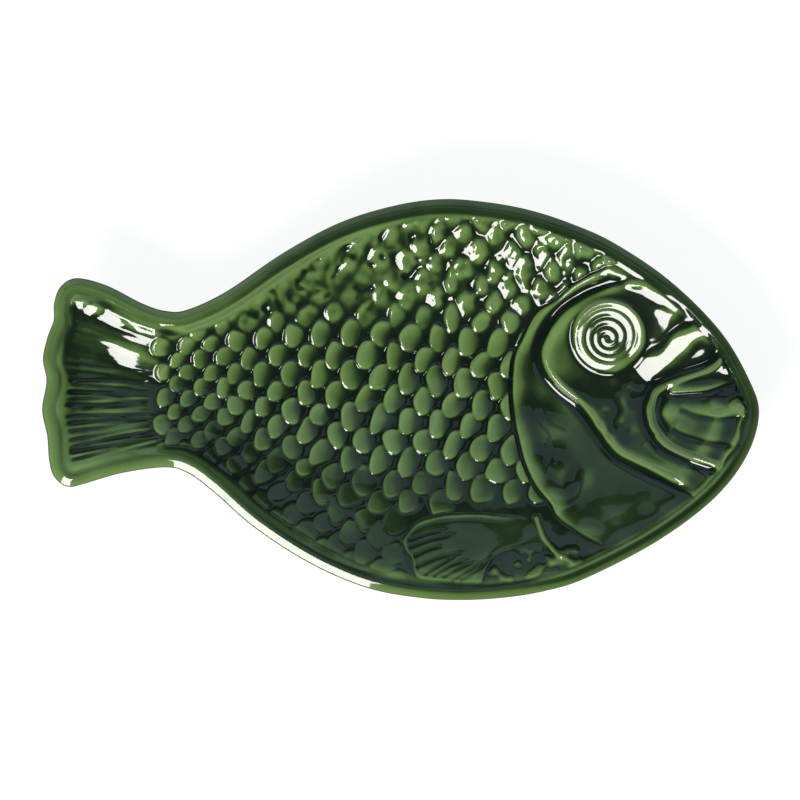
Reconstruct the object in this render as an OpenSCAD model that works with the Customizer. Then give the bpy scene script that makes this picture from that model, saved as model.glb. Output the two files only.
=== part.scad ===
// Fish shaped serving platter, lying flat with its nose towards +X and its back towards +Y.
// Millimetres, +Z up, standing on z = 0, centred on its own box.
// A glazed dish carries a moulded fish: scales, tail fan, gill cover, head, eye, mouth and fin.

/* [Overall size] */
// nose to tail
length = 350; // [250:5:450]
// back to belly
width = 196; // [140:2:250]
// table to the top of the lip
height = 36; // [28:1:48]

/* [Dish] */
// thickness of the fired wall
wall_t = 5.5; // [4.5:0.5:8]
// height of the rounded edge of the lip
lip_r = 2.4; // [1.6:0.1:3.2]
// width of the lip, from the edge to its crest
lip_w = 5; // [3:0.5:6]
// distance from the edge to the groove inside the lip
groove_in = 7; // [6:0.5:9]
// depth of the groove below the lip
groove_drop = 0.9; // [0.8:0.1:2]
// how flat the well lies before it climbs to the rim
well_power = 2; // [1.8:0.1:3]

/* [Foot] */
// table to the underside in the middle of the dish
floor_clear = 2.5; // [2:0.5:4]
// height of the bare foot ring
foot_h = 8; // [6:0.5:10]
// width of the foot ring
foot_w = 5; // [3:0.5:8]

/* [Scales] */
// distance between the scales of one row
scale_pitch = 14.35; // [11:0.05:19]
// distance between the rows
row_pitch = 10.3; // [7:0.1:13]
// radius of the free edge of a scale
scale_r = 7.9; // [5:0.1:10]
// height of a scale above the well
scale_h = 2.2; // [1.2:0.1:3]
// radius of the rounded top of a scale
scale_dome_r = 14; // [10:0.5:20]
// how far the top leans to the free edge, as a share of the radius
scale_lean_share = 0.35; // [0:0.05:0.6]
// size of a scale at the tail, as a share of a full one
scale_taper_share = 0.35; // [0.2:0.05:0.6]
// width of the crease between neighbouring scales
scale_gap = 0.4; // [0.2:0.1:0.8]
// smooth strip between the groove and the scales
scale_margin = 1.5; // [1:0.5:5]
// slope of the rows, in degrees
row_tilt = 4; // [0:0.5:6]
// rows on each side of the middle row that belong to the flank
flank_rows = 3; // [2:1:4]
// share of its radius by which a scale keeps inside the field
scale_inside_share = 0.75; // [0.6:0.05:1]
// reach of a scale towards the head, as a share of its radius
scale_front_share = 0.6; // [0.5:0.05:1]
// smallest scale that still fits at the edge of the field, as a share of a full one
scale_least_share = 0.5; // [0.4:0.05:0.8]

/* [Tail] */
// number of rays in the tail fan
tail_rays = 24; // [9:1:27]
// height of the tail panel between the rays
tail_h = 0.5; // [0.4:0.1:1.5]
// height of a tail ray
tail_ray_h = 0.8; // [0.5:0.1:2]

/* [Head] */
// height of the free edge of the gill cover
gill_h = 2.8; // [1.6:0.1:4]
// height of the scooped middle of the gill cover
gill_scoop_h = 1; // [0.6:0.1:2]
// number of scoops along the gill cover
gill_scoops = 4; // [2:1:8]
// height of the cheek ridge
ridge_h = 3; // [2:0.1:4]
// height of the smooth head
head_h = 1.6; // [1:0.1:2.5]
// thickness of a relief edge that runs out
relief_edge = 0.8; // [0.5:0.1:1.5]

/* [Eye] */
// radius of the outer turn of the eye spiral
eye_r = 17; // [12:0.2:22]
// distance between the turns
eye_pitch = 4.2; // [3:0.1:6]
// half the width of the spiral rib
eye_rib_w = 1.2; // [0.6:0.1:2]
// height of the spiral rib
eye_rib_h = 0.9; // [0.5:0.1:2]

/* [Mouth] */
// height of the lip round the mouth
mouth_lip_h = 3; // [2:0.1:4]
// height of a fold of the mouth
mouth_fold_h = 0.9; // [0.5:0.1:2]

/* [Fins and folds] */
// number of rays in the pectoral fin
fin_rays = 8; // [5:1:12]
// height of the fin between the rays
fin_h = 1.2; // [0.8:0.1:2]
// height of a fin ray
fin_ray_h = 0.6; // [0.4:0.1:2]
// half the width of a throat fold
fold_w = 1.6; // [1.2:0.1:3]
// height of a throat fold
fold_h = 1.5; // [0.8:0.1:3]

/* [Fits] */
// clearance under each moulded piece, for the flat facets of the well
seat_gap = 0.3; // [0.2:0.05:0.5]
// how far the moulding stays below the top of the lip
relief_clear = 0.3; // [0.2:0.05:0.4]
// overrun of a cut
overrun = 1; // [0.5:0.5:2]

/* [Hidden] */
half_l = length / 2;
half_w = width / 2;
groove_z = height - groove_drop;
well_depth = groove_z - floor_clear - wall_t;

// outline, as shares of half the length and half the width
back_shares = [
    [-0.905, 0.606], [-0.82, 0.57], [-0.72, 0.48], [-0.655, 0.443], [-0.595, 0.449], [-0.486, 0.54],
    [-0.329, 0.73], [-0.172, 0.881], [-0.016, 0.968], [0.118, 1], [0.244, 0.984], [0.361, 0.945],
    [0.478, 0.877], [0.597, 0.78], [0.753, 0.591], [0.893, 0.34], [0.976, 0.088]
];
belly_shares = [
    [1, -0.08], [0.963, -0.29], [0.871, -0.499], [0.714, -0.708], [0.517, -0.89], [0.4, -0.955],
    [0.283, -0.988], [0.166, -0.999], [0.049, -0.987], [-0.094, -0.938], [-0.251, -0.818],
    [-0.407, -0.639], [-0.524, -0.457], [-0.595, -0.365], [-0.656, -0.338], [-0.774, -0.365],
    [-0.883, -0.42]
];
tail_edge_shares = [
    [-0.918, -0.435], [-0.947, -0.42], [-0.971, -0.37], [-0.981, -0.295], [-0.986, -0.18],
    [-1, -0.05], [-0.988, 0.093], [-0.998, 0.2], [-0.986, 0.307], [-0.968, 0.397],
    [-0.967, 0.476], [-0.95, 0.56]
];
// depth of the middle of the well along the fish, as a share of the full depth
depth_shares = [
    [-0.955, 0], [-0.9, 0.22], [-0.8, 0.4], [-0.65, 0.47], [-0.5, 0.62], [-0.3, 0.85], [-0.1, 0.97],
    [0.1, 1], [0.35, 0.96], [0.5, 0.87], [0.6, 0.75], [0.7, 0.6], [0.8, 0.43], [0.9, 0.21], [0.965, 0]
];
// ends of the middle line that the rings of the well close in on
spine_shares = [-0.8, 0.62];
// ends of the shorter middle line inside the foot ring
core_shares = [-0.25, 0.4];
// fall of both lines from the tail to the nose
spine_fall_share = 0.06;

// curves of the moulded fish, as shares of half the length and half the width
gill_shares = [
    [0.64, 0.665], [0.573, 0.65], [0.486, 0.585], [0.42, 0.51], [0.372, 0.41], [0.337, 0.29],
    [0.314, 0.16], [0.308, 0.03], [0.314, -0.091], [0.328, -0.206], [0.35, -0.33], [0.378, -0.445],
    [0.417, -0.524], [0.445, -0.6], [0.503, -0.679], [0.564, -0.73], [0.61, -0.745]
];
ridge_shares = [
    [0.66, 0.6], [0.6, 0.585], [0.525, 0.541], [0.456, 0.462], [0.408, 0.357], [0.389, 0.272],
    [0.389, 0.198], [0.406, 0.123], [0.445, 0.043], [0.503, -0.046], [0.551, -0.166],
    [0.595, -0.27], [0.651, -0.33], [0.723, -0.39], [0.785, -0.445], [0.822, -0.49]
];
face_shares = [
    [0.665, 0.605], [0.7, 0.57], [0.76, 0.49], [0.82, 0.39], [0.86, 0.31], [0.88, 0.26],
    [0.77, 0.14], [0.7, 0.07], [0.675, -0.01], [0.67, -0.13], [0.68, -0.21], [0.72, -0.275],
    [0.79, -0.32], [0.84, -0.345], [0.855, -0.39], [0.835, -0.47]
];
lip_shares = [
    [0.895, 0.25], [0.785, 0.118], [0.721, 0.058], [0.695, -0.011], [0.69, -0.121],
    [0.698, -0.191], [0.729, -0.245], [0.799, -0.29], [0.875, -0.335]
];
tip_shares = [
    [0.895, 0.24], [0.9, 0.15], [0.938, 0.113], [0.922, 0.028], [0.955, -0.056], [0.932, -0.131],
    [0.943, -0.22], [0.902, -0.275], [0.89, -0.335]
];
fin_top_shares = [
    [0.4, -0.56], [0.3, -0.567], [0.205, -0.562], [0.11, -0.569], [0.057, -0.6], [0.018, -0.654],
    [0.006, -0.7]
];
fin_low_shares = [
    [0.385, -0.7], [0.319, -0.762], [0.255, -0.84], [0.197, -0.9], [0.127, -0.875],
    [0.06, -0.86], [0.035, -0.785], [0.008, -0.725]
];
tail_root_shares = [[-0.657, -0.245], [-0.684, -0.1], [-0.693, 0.05], [-0.684, 0.2], [-0.662, 0.342]];
tail_tip_shares = [
    [-0.9, -0.345], [-0.935, -0.28], [-0.94, -0.18], [-0.945, -0.05], [-0.935, 0.09],
    [-0.945, 0.22], [-0.935, 0.39], [-0.885, 0.485]
];
throat_shares = [[0.4, -0.6], [0.412, -0.66], [0.43, -0.72], [0.46, -0.765], [0.505, -0.8]];
chin_shares = [[0.35, -0.78], [0.38, -0.79], [0.41, -0.82], [0.45, -0.835]];
eye_share = [0.584, 0.32];
// direction of the outer end of the eye spiral
eye_end = 170;
scale_start_share = [-0.4293, 0.0548];
scale_left_share = -0.637;
// share of the row pitch that is lost towards the back and the belly
row_crowd_share = 0.12;
// body half width, as a share, from which the scales are full size
full_scale_share = 0.85;

// steps of the curves and rings
span_steps = 2;
table_steps = 60;
climb_tries = 14;
lip_steps = 7;
lip_start = -60;
lip_end = 90;
tail_bands = 5;
gill_steps = 36;
gill_bands = 6;
head_steps = 36;
head_bands = 8;
mouth_steps = 32;
mouth_bands = 6;
// bands of the mouth that its round lip takes up
lip_bands = 2;
fin_steps = 12;
fold_steps = 12;
// points of the eye spiral on each turn, and those that are left out in the middle
turn_steps = 20;
middle_steps = 3;
// section of a rib, as shares of half its width and of its height
rib_shares = [[-1, 0], [-0.7, 0.65], [0, 1], [0.7, 0.65], [1, 0]];
core_ring_share = 0.3;
under_shares = [0.28, 0.55, 0.8, 1];
well_shares = [0.95, 0.88, 0.8, 0.71, 0.61, 0.5, 0.38, 0.25, 0.12];
// how far the ring lines follow the edge normal, the rest points at the middle line
normal_share = 0.6;
// rows of scales between the middle row and the edge of the field
edge_rows = ceil(half_w / row_pitch) + 2;

// one point of a smooth curve through b and c
function curve_pt(a, b, c, d, t) =
    ((2 * b) + (c - a) * t + (2 * a - 5 * b + 4 * c - d) * t * t + (3 * b - a - 3 * c + d) * t * t * t) / 2;

// smooth closed curve through all points
function closed_curve(pts, steps) =
    let (n = len(pts))
    [
        for (i = [0 : n - 1])
            for (k = [0 : steps - 1])
                curve_pt(pts[(i + n - 1) % n], pts[i], pts[(i + 1) % n], pts[(i + 2) % n], k / steps)
    ];

// point at share u of a smooth open curve
function along(pts, u) =
    let (
        spans = len(pts) - 1,
        i = min(floor(u * spans), spans - 1)
    )
    curve_pt(pts[max(i - 1, 0)], pts[i], pts[i + 1], pts[min(i + 2, spans)], u * spans - i);

// a share point in millimetres
function plan(p) = [p.x * half_l, p.y * half_w];

// a row of n + 1 plan points along a share curve
function rail(shares, n) = [for (k = [0 : n]) plan(along(shares, k / n))];

edge = [for (p = closed_curve(concat(back_shares, belly_shares, tail_edge_shares), span_steps)) plan(p)];
edge_n = len(edge);
nose_i = len(back_shares) * span_steps;
belly_end_i = (len(back_shares) + len(belly_shares) - 1) * span_steps;

// point of a middle line that belongs to an edge point
function middle(p, ends) =
    let (u = (p.x + half_l) / length)
    [half_l * (ends[0] * (1 - u) + ends[1] * u), half_w * spine_fall_share * (1 - 2 * u)];

function unit(v) = v / norm(v);

// direction from an edge point into the dish
function inward(i) =
    let (t = unit(edge[(i + 1) % edge_n] - edge[(i + edge_n - 1) % edge_n]))
    unit(normal_share * [t.y, -t.x] + (1 - normal_share) * unit(middle(edge[i], spine_shares) - edge[i]));

groove = [for (i = [0 : edge_n - 1]) edge[i] + groove_in * inward(i)];
back_table = [for (i = [0 : nose_i]) groove[i]];
belly_table = [for (i = [nose_i : belly_end_i]) groove[i]];
depth_table = [
    for (k = [0 : table_steps])
        let (p = along(depth_shares, k / table_steps))
        [p.x * half_l, p.y]
];
gill_rail = rail(gill_shares, table_steps);
gill_table = [for (p = gill_rail) [p.y, p.x]];
fin_table = rail(fin_top_shares, table_steps);

// half the room between back and belly grooves at x
function body_half(x) = (lookup(x, back_table) - lookup(x, belly_table)) / 2;

// height of the smooth well
function well_z(p) =
    let (
        top = lookup(p.x, back_table),
        low = lookup(p.x, belly_table),
        v = min(1, abs(2 * p.y - top - low) / (top - low))
    )
    groove_z - well_depth * max(0, lookup(p.x, depth_table)) * (1 - pow(v, well_power));

function mix(a, b, u) = a * (1 - u) + b * u;

// share of the way from a to b at which the well climbs to height z
function climb(a, b, z, low = 0, high = 1, tries = climb_tries) =
    let (u = (low + high) / 2)
    tries == 0 ? u
    : well_z(mix(a, b, u)) > z ? climb(a, b, z, low, u, tries - 1)
    : climb(a, b, z, u, high, tries - 1);

core = [for (p = edge) middle(p, core_shares)];
// the foot ring follows a level line of the well, so that the wall above it keeps its thickness
foot_outer = [
    for (i = [0 : edge_n - 1])
        mix(core[i], groove[i], climb(core[i], groove[i], foot_h + wall_t))
];
foot_inner = [for (i = [0 : edge_n - 1]) foot_outer[i] + foot_w * unit(core[i] - foot_outer[i])];

function at_height(pts, z) = [for (p = pts) [p.x, p.y, z]];

// rings of the dish, from the middle of the underside over the lip into the well
function core_ring(u) =
    [
        for (i = [0 : edge_n - 1])
            let (p = mix(core[i], foot_inner[i], u))
            [p.x, p.y, well_z(p) - wall_t]
    ];

function under_ring(u) =
    [
        for (i = [0 : edge_n - 1])
            let (p = mix(foot_outer[i], groove[i], u))
            [p.x, p.y, well_z(p) - wall_t]
    ];

function lip_ring(a) =
    [
        for (i = [0 : edge_n - 1])
            let (p = edge[i] + lip_w * (1 - cos(a)) * inward(i))
            [p.x, p.y, height - lip_r * (1 - sin(a))]
    ];

function well_ring(u) =
    [
        for (i = [0 : edge_n - 1])
            let (p = mix(middle(edge[i], spine_shares), groove[i], u))
            [p.x, p.y, well_z(p)]
    ];

dish_rings = concat(
    [core_ring(core_ring_share), at_height(foot_inner, foot_h), at_height(foot_outer, foot_h)],
    [for (u = under_shares) under_ring(u)],
    [for (k = [0 : lip_steps]) lip_ring(lip_start + (lip_end - lip_start) * k / lip_steps)],
    [at_height(groove, groove_z)],
    [for (u = well_shares) well_ring(u)]
);

// faces that close a ring across the fish, from the nose to the tail
function cap_faces(first, flip) =
    [
        for (k = [0 : edge_n / 2 - 1])
            let (
                a = first + (nose_i + k) % edge_n,
                b = first + (nose_i + k + 1) % edge_n,
                c = first + (nose_i - k - 1 + edge_n) % edge_n,
                d = first + (nose_i - k + edge_n) % edge_n,
                quad = k == 0 ? [a, b, c] : b == c ? [a, b, d] : [a, b, c, d]
            )
            flip ? [for (j = [len(quad) - 1 : -1 : 0]) quad[j]] : quad
    ];

// dish with rolled lip, groove, well and underside
module dish() {
    rings = len(dish_rings);
    pts = [for (ring = dish_rings) for (p = ring) p];
    walls = [
        for (k = [0 : rings - 2])
            for (i = [0 : edge_n - 1])
                let (j = (i + 1) % edge_n)
                each [
                    [k * edge_n + i, (k + 1) * edge_n + j, (k + 1) * edge_n + i],
                    [k * edge_n + i, k * edge_n + j, (k + 1) * edge_n + j]
                ]
    ];
    color("darkgreen")
        polyhedron(pts, concat(cap_faces(0, true), walls, cap_faces((rings - 1) * edge_n, false)));
}

// bare clay ring that the dish stands on
module foot_ring() {
    color("wheat")
        linear_extrude(foot_h)
            difference() {
                polygon(foot_outer);
                polygon(foot_inner);
            }
}

// height of the moulding at p, kept below the top of the lip
function moulded_z(p, lift) = min(well_z(p) + seat_gap + lift, height - relief_clear);

// solid between the well and a moulded surface, given as rows of plan points and their lifts
module relief(rows, lifts) {
    n = len(rows);
    m = len(rows[0]);
    base = [for (row = rows) for (p = row) [p.x, p.y, moulded_z(p, 0)]];
    top = [
        for (i = [0 : n - 1])
            for (j = [0 : m - 1])
                let (p = rows[i][j])
                [p.x, p.y, moulded_z(p, lifts[i][j])]
    ];
    all = n * m;
    top_faces = [
        for (i = [0 : n - 2])
            for (j = [0 : m - 2])
                let (q = i * m + j)
                each [[q, q + 1, q + m + 1], [q, q + m + 1, q + m]]
    ];
    rim = concat(
        [for (j = [0 : m - 2]) j],
        [for (i = [0 : n - 2]) i * m + m - 1],
        [for (j = [m - 1 : -1 : 1]) (n - 1) * m + j],
        [for (i = [n - 1 : -1 : 1]) i * m]
    );
    sides = [
        for (k = [0 : len(rim) - 1])
            let (
                a = rim[k],
                b = rim[(k + 1) % len(rim)]
            )
            each [[a, all + b, b], [a, all + a, all + b]]
    ];
    under_faces = [for (f = top_faces) [all + f[0], all + f[2], all + f[1]]];
    polyhedron(concat(top, base), concat(top_faces, sides, under_faces));
}

// share of full height at step i of n, running out at both ends
function run_out(i, n) = min(1, sqrt(2 * sin(180 * i / n)));

// rows of plan points ruled between two rails
function ruled(rail_a, rail_b, m) =
    [
        for (i = [0 : len(rail_a) - 1])
            [for (j = [0 : m]) rail_a[i] * (1 - j / m) + rail_b[i] * j / m]
    ];

// rounded rib along plan points, running out at both ends
module rib(path, half, crest, lift) {
    n = len(path);
    m = len(rib_shares);
    pts = [
        for (i = [0 : n - 1])
            let (
                t = unit(path[min(i + 1, n - 1)] - path[max(i - 1, 0)]),
                side = [-t.y, t.x],
                fade = sqrt(sin(180 * (i + 1) / (n + 1)))
            )
            for (s = rib_shares)
                let (p = path[i] + side * half * s.x * fade)
                [p.x, p.y, moulded_z(p, lift + crest * s.y * fade)]
    ];
    skin = [
        for (i = [0 : n - 2])
            for (j = [0 : m - 1])
                let (
                    a = i * m + j,
                    b = i * m + (j + 1) % m
                )
                each [[a, b, b + m], [a, b + m, a + m]]
    ];
    last = (n - 1) * m;
    ends = [for (j = [1 : m - 2]) each [[0, j + 1, j], [last, last + j, last + j + 1]]];
    polyhedron(pts, concat(skin, ends));
}

// share of full size that the scales have at x
function taper(x) =
    scale_taper_share + (1 - scale_taper_share) * min(1, body_half(x) / (full_scale_share * half_w));

// share of the row pitch that is left at row height y
function crowd(y) = 1 - 3 * row_crowd_share * pow(y / half_w, 2);

// middle of scale m in row n
function scale_pt(m, n) =
    let (
        start = plan(scale_start_share),
        x = start.x + scale_pitch * (m + (n % 2 == 0 ? 0 : 1 / 2)),
        row_y = row_pitch * n,
        y = row_y * (1 - row_crowd_share * pow(row_y / half_w, 2))
    )
    [x, start.y + (y - (x - start.x) * tan(row_tilt)) * taper(x)];

// radius that a scale at p has room for between the rim, the tail, the gill cover and the fin
function room(p) =
    let (
        up = lookup(p.x, back_table) - p.y,
        down = p.y - lookup(p.x, belly_table),
        fin_tip = fin_table[len(fin_table) - 1]
    )
    min(
        (min(up, down) - scale_margin) / scale_inside_share,
        p.x - scale_left_share * half_l,
        (lookup(p.y, gill_table) - p.x) / scale_front_share,
        min([for (q = gill_rail) norm([(q.x - p.x) / scale_front_share, q.y - p.y])]),
        max(fin_tip.x - p.x, p.y - lookup(p.x, fin_table))
    );

// radius of scale m in row n, or 0 where it has no room
function scale_radius(m, n) =
    let (
        p = scale_pt(m, n),
        full = scale_r * taper(p.x) * crowd(row_pitch * n),
        r = min(full, room(p))
    )
    r < full * scale_least_share ? 0 : r;

// the scales that lie over the head side of scale m in row n
function over_scales(m, n) =
    let (k = n % 2 == 0 ? m : m + 1)
    [
        for (s = [[k, n + 1], [k, n - 1], [m + 1, n]])
            let (r = scale_radius(s[0], s[1]))
            if (r > 0) [scale_pt(s[0], s[1]), r]
    ];

// one scale: a leaning dome with a round free edge, cut by the scales that lie over it
module scale_pad(m, n) {
    p = scale_pt(m, n);
    r = scale_radius(m, n);
    size = r / scale_r;
    dome = scale_dome_r * size;
    crest = scale_h * size;
    rise_x = (well_z(p + [overrun, 0]) - well_z(p - [overrun, 0])) / (2 * overrun);
    rise_y = (well_z(p + [0, overrun]) - well_z(p - [0, overrun])) / (2 * overrun);
    // rise of the hollow well under the edge of the scale
    bow_x = (well_z(p + [r, 0]) + well_z(p - [r, 0])) / 2 - well_z(p);
    bow_y = (well_z(p + [0, r]) + well_z(p - [0, r])) / 2 - well_z(p);
    translate([p.x, p.y, well_z(p) + max(0, bow_x, bow_y) + seat_gap])
        rotate([atan(rise_y), -atan(rise_x), 0])
            difference() {
                intersection() {
                    cylinder(r = r, h = crest);
                    translate([-r * scale_lean_share, 0, crest - dome])
                        sphere(dome);
                }
                for (over = over_scales(m, n))
                    translate([over[0].x - p.x, over[0].y - p.y, -overrun])
                        cylinder(r = over[1] + scale_gap, h = crest + 2 * overrun);
            }
}

// staggered field of overlapping scales, from one row to another
module scale_rows(first, last) {
    columns = ceil(length / scale_pitch);
    for (n = [first : last])
        for (m = [-columns : columns])
            if (scale_radius(m, n) > 0)
                scale_pad(m, n);
}

// small crowded scales along the back
module back_scales() {
    color("seagreen")
        scale_rows(flank_rows + 1, edge_rows);
}

// full scales along the middle of the body
module flank_scales() {
    color("mediumseagreen")
        scale_rows(-flank_rows, flank_rows);
}

// scales along the belly, up to the fin
module belly_scales() {
    color("darkseagreen")
        scale_rows(-edge_rows, -flank_rows - 1);
}

// tail fan with fine rays
module tail_fan() {
    n = 2 * tail_rays;
    m = tail_bands;
    rows = ruled(rail(tail_root_shares, n), rail(tail_tip_shares, n), m);
    lifts = [
        for (i = [0 : n])
            [for (j = [0 : m]) tail_h + tail_ray_h * (i % 2) * (1 + j / m) / 2]
    ];
    color("green")
        relief(rows, lifts);
}

// gill cover between its scooped free edge and the cheek ridge
module gill_cover() {
    n = gill_steps;
    m = gill_bands;
    rows = ruled(rail(gill_shares, n), rail(ridge_shares, n), m);
    lifts = [
        for (i = [0 : n])
            [
                for (j = [0 : m])
                    let (
                        hollow = sin(180 * j / m),
                        scoop = (1 - cos(360 * gill_scoops * i / n)) / 2
                    )
                    relief_edge
                    + (gill_h - relief_edge - (gill_h - gill_scoop_h) * hollow * (1 + scoop) / 2)
                    * run_out(i, n)
            ]
    ];
    color("olivedrab")
        relief(rows, lifts);
}

// smooth head with the cheek ridge along its rear edge
module head() {
    n = head_steps;
    m = head_bands;
    rows = ruled(rail(ridge_shares, n), rail(face_shares, n), m);
    lifts = [
        for (i = [0 : n])
            [
                for (j = [0 : m])
                    let (full = j == 0 ? ridge_h : j == m ? relief_edge : head_h)
                    relief_edge + (full - relief_edge) * run_out(i, n)
            ]
    ];
    color("forestgreen")
        relief(rows, lifts);
}

// rib that winds out from the middle of the eye
module eye_spiral() {
    turns = eye_r / eye_pitch;
    steps = turn_steps * turns;
    path = [
        for (k = [middle_steps : steps])
            let (
                r = eye_r * k / steps,
                a = eye_end - 360 * turns * (1 - k / steps)
            )
            plan(eye_share) + r * [cos(a), sin(a)]
    ];
    color("yellowgreen")
        rib(path, eye_rib_w, eye_rib_h, head_h + seat_gap);
}

// mouth: a round lip with folds that fan out to points at the nose
module mouth() {
    n = mouth_steps;
    m = mouth_bands;
    folds = (len(tip_shares) - 1) / 2;
    rows = ruled(rail(lip_shares, n), rail(tip_shares, n), m);
    lifts = [
        for (i = [0 : n])
            [
                for (j = [0 : m])
                    let (
                        fold = mouth_fold_h * (1 + cos(360 * folds * i / n)) / 2,
                        lip = mouth_lip_h * (1 + j) / lip_bands - relief_edge
                    )
                    relief_edge + (j < lip_bands ? lip : fold) * run_out(i, n)
            ]
    ];
    color("mediumseagreen")
        relief(rows, lifts);
}

// pectoral fin with rays that fade towards its root
module pectoral_fin() {
    n = fin_steps;
    m = 2 * fin_rays;
    rows = ruled(rail(fin_top_shares, n), rail(fin_low_shares, n), m);
    lifts = [
        for (i = [0 : n])
            [for (j = [0 : m]) fin_h + fin_ray_h * (j % 2 == 0 ? i / n : 0)]
    ];
    color("darkolivegreen")
        relief(rows, lifts);
}

// two soft folds of the throat behind the gill cover
module throat_folds() {
    color("darkseagreen") {
        rib(rail(throat_shares, fold_steps), fold_w, fold_h, 0);
        rib(rail(chin_shares, fold_steps), fold_w, fold_h, 0);
    }
}

dish();
foot_ring();
back_scales();
flank_scales();
belly_scales();
tail_fan();
gill_cover();
head();
eye_spiral();
mouth();
pectoral_fin();
throat_folds();
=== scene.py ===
"""Fish shaped platter in green glaze: the moulded fish, its dish, the bare foot ring and a pale studio."""

import math

import bpy
import numpy as np
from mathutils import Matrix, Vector


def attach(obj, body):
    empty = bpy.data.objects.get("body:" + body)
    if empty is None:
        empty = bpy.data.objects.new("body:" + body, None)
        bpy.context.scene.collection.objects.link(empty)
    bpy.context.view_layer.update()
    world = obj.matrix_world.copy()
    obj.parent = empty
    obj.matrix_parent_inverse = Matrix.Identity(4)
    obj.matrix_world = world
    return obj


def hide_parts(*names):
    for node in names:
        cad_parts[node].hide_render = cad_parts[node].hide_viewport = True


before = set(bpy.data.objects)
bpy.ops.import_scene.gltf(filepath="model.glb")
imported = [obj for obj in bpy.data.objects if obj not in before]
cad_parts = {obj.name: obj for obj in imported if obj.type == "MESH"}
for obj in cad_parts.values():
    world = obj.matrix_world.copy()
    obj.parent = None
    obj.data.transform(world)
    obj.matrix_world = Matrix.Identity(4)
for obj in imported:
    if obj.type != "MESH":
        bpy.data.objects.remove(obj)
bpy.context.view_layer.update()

# sizes in millimetres, as in the part's source
LENGTH, WIDTH, HEIGHT = 350.0, 196.0, 36.0
HALF = np.array([LENGTH / 2, WIDTH / 2])
WALL = 5.5
LIP_R, LIP_W = 2.4, 5.0
GROOVE_IN = 7.0
GROOVE_Z = HEIGHT - 0.9
FLOOR_CLEAR = 2.5
WELL_DEPTH = GROOVE_Z - FLOOR_CLEAR - WALL
WELL_POWER, TAIL_POWER = 2.0, 1.5
TAIL_WELL_X, TAIL_WELL_RUN = -90, 40
FOOT_H, FOOT_W = 8.0, 5.0
SPINE, CORE = (-0.8, 0.62), (-0.25, 0.4)
SPINE_FALL = 0.06
NORMAL_SHARE = 0.6
MM = 0.001

# how far the surface stays inside the box of the part
TOP_CLEAR, EDGE_CLEAR, RELIEF_CLEAR = 0.03, 0.06, 0.3
TOP_Z = HEIGHT - TOP_CLEAR

# raster of the moulded surface, and every how many of its points make a vertex
STEP = 0.25
STRIDE = 2
COLUMNS = 1100

# seeds of the random fields
SEED = {
    "scale_edges": 5, "scale_lumps": 6, "brow": 7, "throat": 8, "low_head": 9, "scale_pits": 10,
    "handmade": 11, "muzzle": 12, "rays": 13,
}

# outline and curves of the fish, as shares of half the length and half the width
BACK = [
    (-0.905, 0.606), (-0.82, 0.57), (-0.72, 0.48), (-0.655, 0.443), (-0.595, 0.449), (-0.486, 0.54),
    (-0.329, 0.73), (-0.172, 0.881), (-0.016, 0.968), (0.118, 1), (0.244, 0.984), (0.361, 0.945),
    (0.478, 0.877), (0.597, 0.78), (0.753, 0.591), (0.893, 0.34), (0.976, 0.088),
]
BELLY = [
    (1, -0.08), (0.963, -0.29), (0.871, -0.499), (0.714, -0.708), (0.517, -0.89), (0.4, -0.955),
    (0.283, -0.988), (0.166, -0.999), (0.049, -0.987), (-0.094, -0.938), (-0.251, -0.818),
    (-0.407, -0.639), (-0.524, -0.457), (-0.595, -0.365), (-0.656, -0.338), (-0.774, -0.365),
    (-0.883, -0.42),
]
TAIL_EDGE = [
    (-0.918, -0.435), (-0.947, -0.42), (-0.971, -0.37), (-0.981, -0.295), (-0.986, -0.18),
    (-1, -0.05), (-0.988, 0.093), (-0.998, 0.2), (-0.986, 0.307), (-0.968, 0.397),
    (-0.967, 0.476), (-0.95, 0.56),
]
DEPTH = [
    (-0.955, 0), (-0.9, 0.22), (-0.8, 0.4), (-0.65, 0.47), (-0.5, 0.62), (-0.3, 0.85), (-0.1, 0.97),
    (0.1, 1), (0.35, 0.96), (0.5, 0.87), (0.6, 0.75), (0.7, 0.6), (0.8, 0.43), (0.9, 0.21), (0.965, 0),
]
GILL = [
    (0.70, 0.66), (0.651, 0.686), (0.573, 0.666), (0.486, 0.586), (0.433, 0.506), (0.378, 0.437),
    (0.339, 0.312), (0.314, 0.208), (0.308, 0.048), (0.314, -0.091), (0.328, -0.206), (0.347, -0.33),
    (0.378, -0.445), (0.417, -0.524), (0.439, -0.594), (0.503, -0.679), (0.564, -0.738), (0.60, -0.77),
]
RIDGE = [
    (0.68, 0.6), (0.62, 0.591), (0.573, 0.571), (0.525, 0.541), (0.486, 0.501), (0.456, 0.462),
    (0.431, 0.417), (0.408, 0.357), (0.389, 0.272), (0.389, 0.198), (0.406, 0.123), (0.445, 0.043),
    (0.503, -0.046), (0.551, -0.166), (0.595, -0.27), (0.651, -0.33), (0.723, -0.39), (0.785, -0.445),
    (0.838, -0.505),
]
MOUTH_LIP = [
    (0.902, 0.237), (0.879, 0.183), (0.846, 0.148), (0.779, 0.108), (0.72, 0.058), (0.701, -0.002),
    (0.695, -0.071), (0.709, -0.151), (0.74, -0.221), (0.79, -0.27), (0.852, -0.31), (0.9045, -0.34),
]
MOUTH_TIPS = [
    (0.902, 0.237), (0.946, 0.113), (0.977, -0.056), (0.957, -0.221), (0.9045, -0.34), (0.835, -0.504),
]
MOUTH_BAYS = [(0.906, 0.145), (0.925, 0.028), (0.935, -0.131), (0.905, -0.275), (0.85, -0.425)]
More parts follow.
